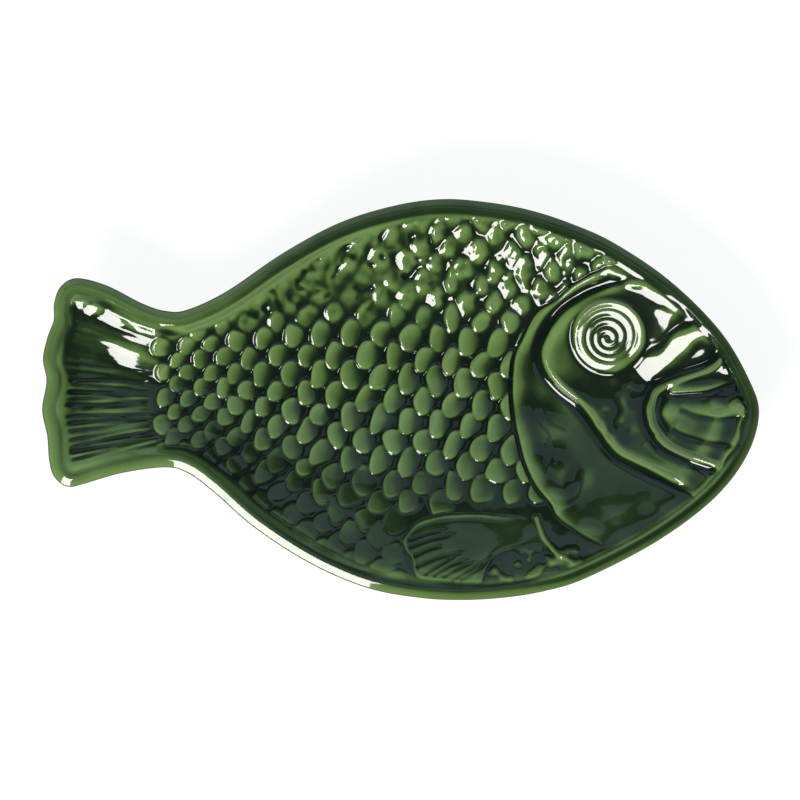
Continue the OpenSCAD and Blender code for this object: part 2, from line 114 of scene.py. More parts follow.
MOUTH_FOLDS = [
    [(0.746, 0.038), (0.80, 0.042), (0.857, 0.052), (0.913, 0.086), (0.946, 0.113)],
    [(0.779, -0.021), (0.835, -0.056), (0.907, -0.069), (0.977, -0.056)],
    [(0.762, -0.121), (0.807, -0.166), (0.891, -0.199), (0.957, -0.221)],
]
FIN_TOP = [
    (0.38, -0.6), (0.333, -0.585), (0.272, -0.577), (0.23, -0.569), (0.169, -0.569), (0.107, -0.579),
    (0.046, -0.614), (0.01, -0.684), (0.004, -0.7135),
]
FIN_LOW = [
    (0.38, -0.7), (0.3275, -0.738), (0.28, -0.768), (0.247, -0.828), (0.227, -0.908), (0.194, -0.918),
    (0.135, -0.908), (0.08, -0.9), (0.046, -0.882), (0.035, -0.843), (0.029, -0.793), (0.0125, -0.753),
]
FIN_RAYS = [
    [(0.026, -0.7), (0.079, -0.669), (0.136, -0.649)],
    [(0.029, -0.733), (0.087, -0.698), (0.165, -0.669)],
    [(0.042, -0.777), (0.083, -0.744), (0.124, -0.727)],
    [(0.046, -0.832), (0.107, -0.788), (0.194, -0.755)],
    [(0.07, -0.869), (0.12, -0.813), (0.16, -0.773)],
    [(0.095, -0.874), (0.148, -0.821), (0.2, -0.796)],
    [(0.122, -0.881), (0.169, -0.835), (0.218, -0.803)],
    [(0.146, -0.9), (0.198, -0.843), (0.238, -0.799)],
    [(0.169, -0.9), (0.218, -0.843), (0.267, -0.781), (0.312, -0.746)],
]
GILL_LINES = [
    [(0.365, -0.003), (0.374, -0.075), (0.398, -0.131), (0.418, -0.175), (0.412, -0.226)],
    [(0.398, -0.023), (0.405, -0.075), (0.43, -0.123), (0.467, -0.159)],
    [(0.408, -0.219), (0.401, -0.282), (0.412, -0.33)],
    [(0.438, -0.226), (0.43, -0.282), (0.436, -0.322)],
]
TAIL_ROOT = [(-0.657, -0.245), (-0.684, -0.1), (-0.693, 0.05), (-0.684, 0.2), (-0.662, 0.342)]
TAIL_TIPS = [
    (-0.88, -0.36), (-0.935, -0.3), (-0.957, -0.22), (-0.955, -0.05), (-0.945, 0.06), (-0.952, 0.2),
    (-0.94, 0.33), (-0.915, 0.44), (-0.885, 0.487),
]
TAIL_FOCUS = (-0.141, 0.013)
THROAT = [(0.378, -0.574), (0.39, -0.64), (0.406, -0.703), (0.44, -0.765), (0.489, -0.813)]
EYE = (0.584, 0.32)
MUZZLE = [(0.672, 0.125), (0.71, 0.18), (0.779, 0.272), (0.84, 0.335), (0.9, 0.39)]
SCALE_START = (-0.4293, 0.0548)


def smooth_curve(shares, per_span=16, closed=False):
    """Points of a smooth curve through the shares, in millimetres."""
    p = np.asarray(shares, float) * HALF
    q = np.vstack([p[-1:], p, p[:2]]) if closed else np.vstack([p[:1], p, p[-1:]])
    t = np.arange(per_span)[:, None] / per_span
    spans = [
        (2 * b + (c - a) * t + (2 * a - 5 * b + 4 * c - d) * t**2 + (3 * b - a - 3 * c + d) * t**3) / 2
        for a, b, c, d in zip(q, q[1:], q[2:], q[3:])
    ]
    out = np.vstack(spans)
    return out if closed else np.vstack([out, p[-1:]])


def even_ring(points, count):
    """The closed curve again, with count points at even distances."""
    ring = np.vstack([points, points[:1]])
    run = np.concatenate([[0], np.cumsum(np.linalg.norm(np.diff(ring, axis=0), axis=1))])
    at = np.linspace(0, run[-1], count, endpoint=False)
    return np.stack([np.interp(at, run, ring[:, k]) for k in (0, 1)], axis=1)


def unit(v):
    return v / np.maximum(np.linalg.norm(v, axis=-1, keepdims=True), 1e-9)


def middle(p, ends):
    """Point of a middle line that belongs to an edge point."""
    u = (p[:, 0] + HALF[0]) / LENGTH
    x = HALF[0] * (ends[0] * (1 - u) + ends[1] * u)
    return np.stack([x, HALF[1] * SPINE_FALL * (1 - 2 * u)], axis=1)


def ring_blur(values, reach):
    """Average of values along a closed ring over 2 * reach + 1 points, twice."""
    kernel = np.ones(2 * reach + 1) / (2 * reach + 1)
    for _ in range(2):
        pad = np.vstack([values[-reach:], values, values[:reach]])
        values = np.stack([np.convolve(pad[:, k], kernel, "valid") for k in range(values.shape[1])], axis=1)
    return values


def inward_of(edge, reach):
    """Unit directions from the edge into the dish."""
    t = unit(np.roll(edge, -1, 0) - np.roll(edge, 1, 0))
    normal = np.stack([t[:, 1], -t[:, 0]], axis=1)
    lead = unit(middle(edge, SPINE) - edge)
    return unit(ring_blur(unit(NORMAL_SHARE * normal + (1 - NORMAL_SHARE) * lead), reach))


EDGE = even_ring(smooth_curve(BACK + BELLY + TAIL_EDGE, per_span=24, closed=True), COLUMNS)
EDGE *= np.minimum(1, (HALF - EDGE_CLEAR) / np.abs(EDGE).max(0))
INWARD = inward_of(EDGE, reach=5)
GROOVE = EDGE + GROOVE_IN * INWARD
NOSE = int(np.argmax(EDGE[:, 0]))
BELLY_END = int(np.argmin(np.linalg.norm(EDGE - np.array(BELLY[-1]) * HALF, axis=1)))


def table_of(points):
    order = np.argsort(points[:, 0])
    return points[order, 0], points[order, 1]


BACK_TABLE = table_of(GROOVE[: NOSE + 1])
BELLY_TABLE = table_of(GROOVE[NOSE : BELLY_END + 1])
DEPTH_CURVE = smooth_curve(DEPTH) / HALF * np.array([HALF[0], 1])


def well_z(x, y):
    """Height of the smooth well."""
    top, low = np.interp(x, *BACK_TABLE), np.interp(x, *BELLY_TABLE)
    v = np.minimum(1, np.abs(2 * y - top - low) / np.maximum(top - low, 1e-6))
    deep = np.maximum(0, np.interp(x, DEPTH_CURVE[:, 0], DEPTH_CURVE[:, 1]))
    to_tail = np.clip((TAIL_WELL_X - x) / TAIL_WELL_RUN, 0, 1)
    power = WELL_POWER + (TAIL_POWER - WELL_POWER) * to_tail
    return GROOVE_Z - WELL_DEPTH * deep * (1 - v**power)


# the raster and the tools that shape fields on it
NX = int(round(LENGTH / STEP / STRIDE)) * STRIDE + 1 + 2 * STRIDE
NY = int(round(WIDTH / STEP / STRIDE)) * STRIDE + 1 + 2 * STRIDE
GX = (np.arange(NX) - (NX - 1) / 2) * STEP
GY = (np.arange(NY) - (NY - 1) / 2) * STEP
XX, YY = np.meshgrid(GX, GY)


def soft_step(v):
    v = np.clip(v, 0, 1)
    return v * v * (3 - 2 * v)


def fade(v, zero, one):
    """A soft step of v from 0 at zero to 1 at one, in either direction."""
    return soft_step((v - zero) / (one - zero))


def line_through(v, points):
    """Value at v of the broken line through points."""
    return np.interp(v, *np.array(points, float).T)


def blur(field, sigma):
    """Gaussian blur over sigma millimetres."""
    fy = np.fft.fftfreq(NY, STEP)[:, None]
    fx = np.fft.rfftfreq(NX, STEP)[None, :]
    soft = np.exp(-2 * (math.pi * sigma) ** 2 * (fx**2 + fy**2))
    return np.fft.irfft2(np.fft.rfft2(field) * soft, s=field.shape)


def rough_fields(name, *sigmas):
    """Smooth random fields of unit spread from a named seed, one for each sigma."""
    rng = np.random.default_rng(SEED[name])
    fields = [blur(rng.normal(size=(NY, NX)), sigma) for sigma in sigmas]
    return [field / field.std() for field in fields]


def rough(name, sigma):
    return rough_fields(name, sigma)[0]


def inside(polygon):
    """True for the raster points inside a closed polygon."""
    mask = np.zeros((NY, NX), bool)
    a, b = polygon, np.roll(polygon, -1, 0)
    for j, y in enumerate(GY):
        hit = (a[:, 1] > y) != (b[:, 1] > y)
        if hit.any():
            ah, bh = a[hit], b[hit]
            xs = np.sort(ah[:, 0] + (y - ah[:, 1]) / (bh[:, 1] - ah[:, 1]) * (bh[:, 0] - ah[:, 0]))
            mask[j] = np.searchsorted(xs, GX) % 2 == 1
    return mask


def window(x0, y0, x1, y1):
    """The part of the raster between two corners."""
    return slice(*np.searchsorted(GY, (y0, y1))), slice(*np.searchsorted(GX, (x0, x1)))


def near(curve, reach):
    """Distance to a curve up to reach, the share along it, and 1 on its left or -1 on its right."""
    dist = np.full((NY, NX), float(reach))
    share = np.zeros((NY, NX))
    left = np.ones((NY, NX))
    count = len(curve) - 1
    for k, (a, b) in enumerate(zip(curve, curve[1:])):
        part = window(*(np.minimum(a, b) - reach), *(np.maximum(a, b) + reach))
        x, y = XX[part] - a[0], YY[part] - a[1]
        d = b - a
        t = np.clip((x * d[0] + y * d[1]) / max(d @ d, 1e-9), 0, 1)
        r = np.hypot(x - t * d[0], y - t * d[1])
        closer = r < dist[part]
        dist[part][closer] = r[closer]
        share[part][closer] = ((k + t) / count)[closer]
        left[part][closer] = np.sign(d[0] * y - d[1] * x)[closer]
    return dist, share, left


def side_of(curve, polygon_tail, reach):
    """Signed distance to a curve: positive inside the polygon that the curve and its tail points close."""
    dist, share, _ = near(curve, reach)
    mask = inside(np.vstack([curve, np.asarray(polygon_tail) * HALF]))
    return np.where(mask, dist, -dist), share, mask


def bell(distance, half):
    return np.exp(-((distance / half) ** 2))


def oval(centre, half_u, half_v, turn, power=1.0):
    """A soft oval mound of height 1."""
    c = np.array(centre) * HALF
    ca, sa = math.cos(turn), math.sin(turn)
    u = ((XX - c[0]) * ca + (YY - c[1]) * sa) / half_u
    v = (-(XX - c[0]) * sa + (YY - c[1]) * ca) / half_v
    return np.exp(-((u * u + v * v) ** power))


def run_out(share, ends):
    """1 along a curve, falling to 0 over a share of its length at both ends."""
    return fade(share, 0, ends) * soft_step((1 - share) / ends)


def ridge(shares, half, crest, ends=0.12):
    """A rounded rib along a curve, running out at both ends."""
    dist, share, _ = near(smooth_curve(shares), 3 * half)
    return crest * bell(dist, half) * run_out(share, ends) * (dist < 3 * half)


def pleat(shares, rise, crest, drop, valley, ends):
    """A fold that climbs slowly to its line from the left side and drops into a crease on the right side."""
    dist, share, left = near(smooth_curve(shares), 3 * max(rise, drop))
    climb_side = crest * bell(dist, rise)
    crease = valley * bell(dist - drop, 0.7 * drop) * fade(dist, 0, drop)
    drop_side = crest * bell(dist, 0.45 * drop) - crease
    return np.where(left > 0, climb_side, drop_side) * run_out(share, ends)


# scales: the lattice, the reach of one scale to each side, and how uneven they are
SCALE_PITCH, ROW_PITCH = 14.35, 10.3
ROW_TILT = math.radians(4.0)
ROW_NUMBERS, PLACES_IN_ROW = range(-14, 15), range(-14, 26)
TAPER_LEAST, TAPER_FULL = 0.4, 0.85
TAIL_SQUEEZE, ROW_CROWD, LEAST_CROWD, ROW_BUNCH = 0.82, 0.36, 0.35, 0.12
SCALE_LEFT, SCALE_RIGHT, SCALE_SIDE = 5.7, 9.0, 8.8
SCALE_HIGH = 2.1
SCALE_END_X, FIN_ROOM_Y = -119.5, -51
SIZE_WOBBLE, HIGH_WOBBLE = 0.07, 0.12
PLACE_WOBBLE_X, PLACE_WOBBLE_Y = 0.6, 0.5
SCALE_LEAN, EDGE_WARP = 0.12, 0.55
# row numbers between which the scales turn into back rows, and where those rows rise from the tail on
BACK_ROWS = (2.5, 5)
BACK_RISE_X = (-10, 35)
LUMP_HIGH = 0.22


def taper(x):
    """Size of the scales where the body narrows."""
    half = (np.interp(x, *BACK_TABLE) - np.interp(x, *BELLY_TABLE)) / 2
    return TAPER_LEAST + (1 - TAPER_LEAST) * np.minimum(1, half / (TAPER_FULL * HALF[1]))


def wobble(m, n, k):
    """A fixed small unevenness of scale m in row n, from -1 to 1: the fraction of a large sine."""
    v = math.sin(12.9898 * m + 78.233 * n + 37.719 * k) * 43758.5453
    return 2 * (v - math.floor(v)) - 1


def lattice_rows():
    """Row number of the raster points, for splitting the scales into back, flank and belly."""
    start = np.array(SCALE_START) * HALF
    return ((YY - start[1]) / taper(XX) + (XX - start[0]) * math.tan(ROW_TILT)) / ROW_PITCH


def scale_places():
    """Middle, size and crowding of every scale on the lattice, closer together near the tail."""
    start = np.array(SCALE_START) * HALF
    for n in ROW_NUMBERS:
        for m in PLACES_IN_ROW:
            run = SCALE_PITCH * (m + (0.5 if n % 2 else 0))
            x = start[0] + (run if run > 0 else TAIL_SQUEEZE * run)
            row_y = ROW_PITCH * n
            crowd = 1 - ROW_CROWD * (row_y / HALF[1]) ** 2
            if abs(x) > HALF[0] or crowd < LEAST_CROWD:
                continue
            y = row_y * (1 - ROW_BUNCH * (row_y / HALF[1]) ** 2)
            y = start[1] + (y - (x - start[0]) * math.tan(ROW_TILT)) * taper(x)
            yield x, y, taper(x), crowd, m, n


def scale_shape(x, size, crowd, m, n):
    """Reach of a scale to the left, right and side, its height, its share of back row and its unevenness."""
    back = float(np.interp(n, BACK_ROWS, (0, 1)))
    uneven = 1 + 0.8 * back + float(np.interp(n, (-5, -2), (0.8, 0)))
    grow = 0.5 + 0.5 * size
    left = SCALE_LEFT * grow * (1 + SIZE_WOBBLE * wobble(m, n, 1) * uneven)
    right = SCALE_RIGHT * grow * (1 - 0.28 * back)
    side = SCALE_SIDE * size * (0.4 + 0.6 * crowd) * (1 + SIZE_WOBBLE * wobble(m, n, 2) * uneven)
    high = SCALE_HIGH * (0.4 + 0.6 * size) * (1 + HIGH_WOBBLE * wobble(m, n, 3) * uneven)
    high *= (1 - 0.4 * back) * np.interp(n, (-6, -1.5), (0.3, 1.0))
    high *= 1 - 0.55 * back * float(np.interp(x, BACK_RISE_X, (1, 0)))
    return left, right, side, high, back, uneven


def scale_field():
    """Shingled scales, each high at its free edge towards the tail and sinking under the next one."""
    field = np.zeros((NY, NX))
    warp_x, warp_y = rough_fields("scale_edges", 3.5, 3.5)
    at_x, at_y = XX + EDGE_WARP * warp_x, YY + EDGE_WARP * warp_y
    for x, y, size, crowd, m, n in scale_places():
        if x < SCALE_END_X or (x > 0 and y < FIN_ROOM_Y):
            continue
        left, right, side, high, back, uneven = scale_shape(x, size, crowd, m, n)
        x += PLACE_WOBBLE_X * wobble(m, n, 4) * uneven
        y += PLACE_WOBBLE_Y * wobble(m, n, 5) * uneven
        lean = SCALE_LEAN * (1 + wobble(m, n, 6))
        reach = 1.2 * max(right, side)
        part = window(x - reach, y - reach, x + reach, y + reach)
        u, v = at_x[part] - x, at_y[part] - y
        u = u - lean * v
        sunk = np.clip((u + left) / (left + right), 0, 1)
        rho = np.hypot(u / np.where(u < 0, left, right), v / side)
        inset = np.clip((1 - rho) / (0.3 + 0.3 * back), 0, 1)
        edge = soft_step(inset) * (1 - back) + inset * back
        pad = high * edge * (1 - 0.95 * sunk ** (2.2 + back))
        field[part] = np.maximum(field[part], pad)
    lumps = LUMP_HIGH * rough("scale_lumps", 1.7)
    pits = np.maximum(rough("scale_pits", 1.4) - 0.4, 0) * np.interp(XX, BACK_RISE_X, (0.55, 0.15))
    return field + (lumps - pits) * fade(lattice_rows(), 3.2, 5.4)


# height of the two broad pleats of the tail across their direction, from the middle of the upper one,
# and how they fade along the tail
UPPER_PLEAT = [(-9.3, 0), (-2.8, -0.5), (2.4, 0.54), (7, 0)]
UPPER_FADE = [(-150, 1.0), (-135, 0.75), (-120, 0.2)]
LOWER_PLEAT = [(-27, 0), (-19.2, -0.75), (-11.2, 0.75), (-3, 0)]
LOWER_FADE = [(-150, 0.2), (-138, 1.0), (-120, 0.9)]
# the flat strip that runs along the upper border, outside the pleats
BORDER_FLAT = [(-28, 0), (2.4, 1.1), (7, 0)]
PLEAT_MIDDLE = (-135.9, 37.4)
PLEAT_X, PLEAT_Y = 0.39, 0.92
# rays of the tail: waves to the radian, how far they stray, and heights of the broad and fine ones
RAY_WAVES, RAY_PHASE = 96, 0.6
RAY_SWAY, RAY_STRAY = 0.5, 1.9
BROAD_HIGH, STREAK_HIGH, RAYS_SUNK = 0.34, 0.16, 0.2
TAIL_STREAKS = 6
TAIL_CALM = 0.85


def tail_pleats():
    """Two broad parallel pleats under the upper border of the tail."""
    across = (XX - PLEAT_MIDDLE[0]) * PLEAT_X + (YY - PLEAT_MIDDLE[1]) * PLEAT_Y
    lift = line_through(across, BORDER_FLAT)
    for shape, along in ((UPPER_PLEAT, UPPER_FADE), (LOWER_PLEAT, LOWER_FADE)):
        lift += line_through(across, shape) * line_through(XX, along)
    return lift * fade(RIM_IN, 0, 1.5) * fade(XX, -112, -120) * fade(XX, -166, -160)


def tail_field():
    """Uneven rays that spread from a point inside the fish, calm at the top."""
    tips, root = smooth_curve(TAIL_TIPS), smooth_curve(TAIL_ROOT)
    region = inside(np.vstack([root, tips[::-1]]))
    focus = np.array(TAIL_FOCUS) * HALF
    angle = np.arctan2(YY - focus[1], focus[0] - XX)
    along = np.clip((-108 - XX) / 52, 0, 1)
    far = np.hypot(XX - focus[0], YY - focus[1])
    stray = RAY_SWAY * np.sin(XX / 9.0 + 30 * angle) + RAY_STRAY * np.sin(angle * 23)
    broad = np.cos(angle * RAY_WAVES + RAY_PHASE + stray)
    broad = broad * np.clip(0.75 + 0.45 * rough("rays", 5.0), 0.1, 1.5)
    streaks = sum(
        np.cos(angle * (150 + 28 * k) + 3 * wobble(k, 1, 1)) * np.cos(far / (9 + k) + 3 * wobble(k, 2, 1))
        for k in range(TAIL_STREAKS)
    )
    calm = 1 - TAIL_CALM * fade(angle, 0.09, 0.15)
    rays = BROAD_HIGH * broad * (0.5 + 0.5 * along) + STREAK_HIGH * streaks * (0.6 + 0.4 * along)
    inset = np.minimum(near(tips, 8)[0] / 4.2, near(root, 6)[0] / 5)
    return np.where(region, (rays - RAYS_SUNK) * calm * soft_step(inset), 0), region


# gill cover: its plate, the roll along its free edge, which thins out at the lower end, and its lobes
GILL_PLATE, GILL_ROLL, ROLL_LOSS = 0.9, 1.3, 0.75
LOBE_COUNT, LOBE_HIGH = 6.5, 0.6
GILL_SCOOPS = [((0.403, -0.06), 11.0, 8.5), ((0.436, -0.27), 11.0, 6.5), ((0.483, -0.4), 4.0, 6.0)]
SCOOP_DEEP, SCOOP_TURN = 1.5, -0.25
GILL_LINE_HALF, GILL_LINE_DEEP = 0.6, 0.25
# head: its plate, the cheek ridge along its rear edge and the furrow behind that
HEAD_PLATE, CHEEK_RIDGE, CHEEK_FURROW = 2.0, 0.7, 0.8


def gill_and_head():
    """Heights of the gill cover and the head, their masks and the distances to their rear edges."""
    gill_d, gill_t, gill = side_of(smooth_curve(GILL), [(1.2, -0.77), (1.2, 0.66)], 40)
    head_d, head_t, head = side_of(smooth_curve(RIDGE), [(1.2, -0.505), (1.2, 0.6)], 40)
    lobes = 0.5 * LOBE_HIGH * np.cos(2 * math.pi * LOBE_COUNT * gill_t) * bell(gill_d, 9)
    roll = GILL_ROLL * (1 - ROLL_LOSS * fade(gill_t, 0.74, 0.88))
    lift = (GILL_PLATE + roll + lobes) * fade(gill_d, -0.3, 2.1) - roll * fade(gill_d, 2, 11)
    lift = np.where(gill, lift, 0)
    lift += np.where(head, HEAD_PLATE * fade(head_d, 0, 3.6), 0)
    lift += bell(head_d - 3.4, 2.4) * np.where(head, CHEEK_RIDGE, 0) * run_out(head_t, 0.08)
    lift -= CHEEK_FURROW * bell(head_d + 1.6, 1.7) * gill * run_out(head_t, 0.05)
    return lift, gill, head, gill_d, head_d


# the upper head falls evenly from the brow, and the brow is a ledge across that fall
BROW, BROW_Z = (126.6, 48.6), 33.4
FALL_X, FALL_Y = 0.51, 0.86
FACE_FALL = 0.35
LEDGE_DROP, LEDGE_W, LEDGE_WAVE = 0.7, 4.6, 0.45
BROW_LOBES = [((0.757, 0.43), 5.0, 4.0, 1.0), ((0.727, 0.448), 2.4, 2.0, 0.35)]
BROW_RIM_GAP, BROW_RIM_FALL = 0.05, 0.12
# the corner between brow, gill cover and rim, which is tilted back
CORNER, CORNER_SHARE, CORNER_TILT = (109.5, 63.0), (0.626, 0.643), 0.3
# the ridge over the mouth: height at its start, growth to the nose, and the hollow on its eye side
MUZZLE_START, MUZZLE_GROWTH, MUZZLE_HALF, MUZZLE_WAVE = -1.2, 4.8, 6.0, 0.7
HOLLOW_DEEP, HOLLOW_AT, HOLLOW_HALF = 0.7, 7.5, 3.2
MOTTLE_HIGH = 0.35


def forehead():
    """Height of the upper head: a plane that falls towards the eye, with the ledge of the brow across it."""
    a = (XX - BROW[0]) * FALL_X + (YY - BROW[1]) * FALL_Y
    ledge = soft_step((a + LEDGE_WAVE * rough("brow", 2.6) + LEDGE_W / 2) / LEDGE_W) - 0.5
    z = BROW_Z + FACE_FALL * a + LEDGE_DROP * ledge * fade(XX, 104, 116)
    for centre, half_u, half_v, high in BROW_LOBES:
        z = z + high * oval(centre, half_u, half_v, 0.6)
    return np.minimum(z, GROOVE_Z - BROW_RIM_GAP - BROW_RIM_FALL * RIM_IN)


def muzzle():
    """A broad ridge over the mouth that grows towards the nose."""
    dist, share, left = near(smooth_curve(MUZZLE), 20)
    dist = dist + MUZZLE_WAVE * rough("muzzle", 3.0)
    high = (MUZZLE_GROWTH * share + MUZZLE_START) * fade(share, 1, 0.96)
    hollow = HOLLOW_DEEP * bell(dist - HOLLOW_AT, HOLLOW_HALF) * (left > 0) * fade(share, 0.9, 0)
    return high * np.exp(-((dist / MUZZLE_HALF) ** 4)) - hollow


def face(lift, head_d):
    """The gill cover and head with scoops, lines, upper head, muzzle and mottled cheek."""
    for centre, half_u, half_v in GILL_SCOOPS:
        lift = lift - SCOOP_DEEP * oval(centre, half_u, half_v, SCOOP_TURN)
    for line in GILL_LINES:
        lift = lift - ridge(line, GILL_LINE_HALF, GILL_LINE_DEEP)
    lift = lift * fade(RIM_IN, 1, 15)
    rear = np.interp(XX, (95, 112), (1, -1.5))
    upper = fade(YY, -8, 12) * fade(head_d - rear, 0, 5)
    lift = lift + (forehead() - BASE - lift) * upper + muzzle()
    outward = (XX - CORNER[0]) * FALL_X + (YY - CORNER[1]) * FALL_Y
    lift = lift - CORNER_TILT * outward * oval(CORNER_SHARE, 13, 5.5, -0.5, 2.0) * fade(RIM_IN, 0.3, 1.8)
    return lift + MOTTLE_HIGH * rough("low_head", 2.2) * oval((0.60, -0.06), 17, 16, 0.3) * (head_d > 0)


# eye: a hollow disc that leans towards the brow, with a rib that winds in from its edge
EYE_R, EYE_PITCH = 16.8, 3.9
EYE_PLATE, EYE_RIB, EYE_HOLLOW = 0.5, 0.27, 0.0028
EYE_LEAN = (0.02, 0.034)
EYE_SHIFT = (0.9, 2.0)
EYE_TURN = math.radians(168)
EYE_MARGIN = 2.2
TRENCH_DEEP, TRENCH_AT, TRENCH_HALF = 0.3, 2.8, 1.4


def eye_field():
    """A low disc with an incised line that winds in from its edge and leaves a rounded rib."""
    c = np.array(EYE) * HALF
    dx, dy = XX - c[0], YY - c[1]
    far = np.hypot(dx, dy)
    lean = EYE_LEAN[0] * dx + EYE_LEAN[1] * dy
    to_brow = (FALL_X * dx + FALL_Y * dy) / np.maximum(far, 1)
    pull = np.clip(1 - far / EYE_R, 0, 1)
    dx, dy = dx + EYE_SHIFT[0] * pull, dy + EYE_SHIFT[1] * pull
    turn = ((EYE_TURN - np.arctan2(dy, dx)) / (2 * math.pi)) % 1.0
    coil = (EYE_R - np.hypot(dx, dy)) / EYE_PITCH - turn
    gap = 2 * (coil - np.round(coil))
    rib = EYE_RIB * (1 - gap**2) * (coil > -0.5)
    edge = fade(far, EYE_R + EYE_MARGIN, EYE_R - 0.8)
    trench = TRENCH_DEEP * bell(far - EYE_R - TRENCH_AT, TRENCH_HALF) * soft_step(0.5 - 0.75 * to_brow)
    return (EYE_PLATE + lean + EYE_HOLLOW * far**2 + rib) * edge - trench, far < EYE_R + EYE_MARGIN


# mouth: the lip, the grooves on both sides of it, the plate of the folds and the mounds at its points
LIP_CREST, LIP_GROOVE, LIP_SLOT = 1.2, 1.0, 1.0
FOLD_PLATE, FOLD_SUNK = 1.5, 0.5
FOLD_CRESTS, FOLD_DROPS = (1.1, 0.15, 0.15), (1.5, 2.6, 2.6)
FOLD_RISE, FOLD_VALLEY, FOLD_ENDS = 5.0, 0.35, 0.12
MOUTH_MOUNDS = [((0.923, 0.165), 4.4, 1.3), ((0.94, -0.02), 3.4, 1.9)]
MOUND_HALF, MOUND_TURN = 2.5, 0.3
BAY_POINTS = 12


def scallops():
    """The edge of the mouth: points joined by hollow bays."""
    t = np.linspace(0, 1, BAY_POINTS + 1)[:-1, None]
    tips, bays = np.array(MOUTH_TIPS) * HALF, np.array(MOUTH_BAYS) * HALF
    arcs = [(1 - t) ** 2 * a + 2 * t * (1 - t) * b + t * t * c for a, b, c in zip(tips, bays, tips[1:])]
    return np.vstack(arcs + [tips[-1:]])


def mouth_field():
    """A round lip with a groove round it, and pleats that fan out to the points at the nose."""
    edge, lip = scallops(), smooth_curve(MOUTH_LIP)
    lip_d, lip_t, region = side_of(lip, (edge / HALF)[::-1], 30)
    slot = fade(lip_t, 0.3, 0.42) * fade(lip_t, 0.74, 0.62)
    lift = LIP_CREST * bell(lip_d - 0.4, 1.9) - LIP_GROOVE * bell(lip_d + 3.2, 2.2)
    lift -= LIP_SLOT * bell(lip_d - 4.8, 2.2) * region * slot
    lift *= fade(lip_t, 1, 0.92) * fade(lip_t, -0.04, 0.04)
    step = near(edge, 6)[0]
    cheek = inside(np.vstack([edge[-2 * BAY_POINTS :], smooth_curve(RIDGE)[-60:][::-1], lip[-60:]]))
    nose_share = np.where(region, 1, fade(XX, 115, 135))
    lift += np.where(region | cheek, FOLD_PLATE * fade(step, 0, 1.2) - FOLD_SUNK, 0) * nose_share
    for fold, crest, drop in zip(MOUTH_FOLDS, FOLD_CRESTS, FOLD_DROPS):
        lift += pleat(fold, FOLD_RISE, crest, drop, FOLD_VALLEY, FOLD_ENDS)
    for place, half, high in MOUTH_MOUNDS:
        lift += high * oval(place, half, MOUND_HALF, MOUND_TURN)
    return lift * fade(RIM_IN, -5, 1), region | (np.abs(lip_d) < 4)


# fin: its plate, the thin rim round it, the grooves between its rays and the fall of its face
FIN_PLATE, FIN_RIM, FIN_GROOVE = 0.45, 0.45, 0.5
FIN_FALL, FIN_MIDDLE_Y = 0.05, -68
# throat: the crisp ridge and the crumpled skin below it
THROAT_HALF, THROAT_CREST, THROAT_ENDS = 1.3, 1.1, 0.08
CRUMPLE_HIGH = 0.6


def fin_field():
    """The low pectoral fin with grooves between its rays, running out towards the throat."""
    ring = np.vstack([smooth_curve(FIN_TOP), smooth_curve(FIN_LOW)[::-1]])
    region = inside(ring)
    edge = near(np.vstack([ring, ring[:1]]), 8)[0]
    lift = FIN_PLATE * fade(edge, 0, 1.5) + FIN_RIM * bell(edge - 0.9, 0.8)
    for ray in FIN_RAYS:
        dist, share, _ = near(smooth_curve(ray), 3)
        lift -= FIN_GROOVE * bell(dist, 0.8) * fade(share, 1, 0.6) * (dist < 3)
    lift -= FIN_FALL * (YY - FIN_MIDDLE_Y) * fade(edge, 0, 5)
    lift *= fade(XX, 66, 36)
    return np.where(region, lift, 0), region, np.where(region, edge, -edge)


def throat_field(fin_d):
    """A crisp ridge behind the gill cover and crumpled skin along the rim, clear of the fin."""
    crumple = np.maximum(rough("throat", 1.5) + 0.2, 0)
    patch = soft_step(2.2 * oval((0.385, -0.83), 26, 9, 0.2) - 0.4) * (fin_d < -0.5)
    return ridge(THROAT, THROAT_HALF, THROAT_CREST, THROAT_ENDS) + CRUMPLE_HIGH * crumple * patch


# numbers of the moulded pieces on the raster
N_BACK, N_FLANK, N_BELLY, N_TAIL, N_GILL, N_HEAD, N_EYE, N_MOUTH, N_FIN, N_THROAT = range(1, 11)
ROW_SPLIT = 3.5
TAIL_PIECE_X = -116
THROAT_LEAST = 0.12
# how far inside the groove the relief starts, along the platter
SHELF_EDGE = [(-130, 3.0), (-90, 4.0), (-20, 2.5), (40, 0.4), (110, -0.5), (140, -3.2)]
SHELF_RUN, COVER_EXTRA = 2.2, 0.6


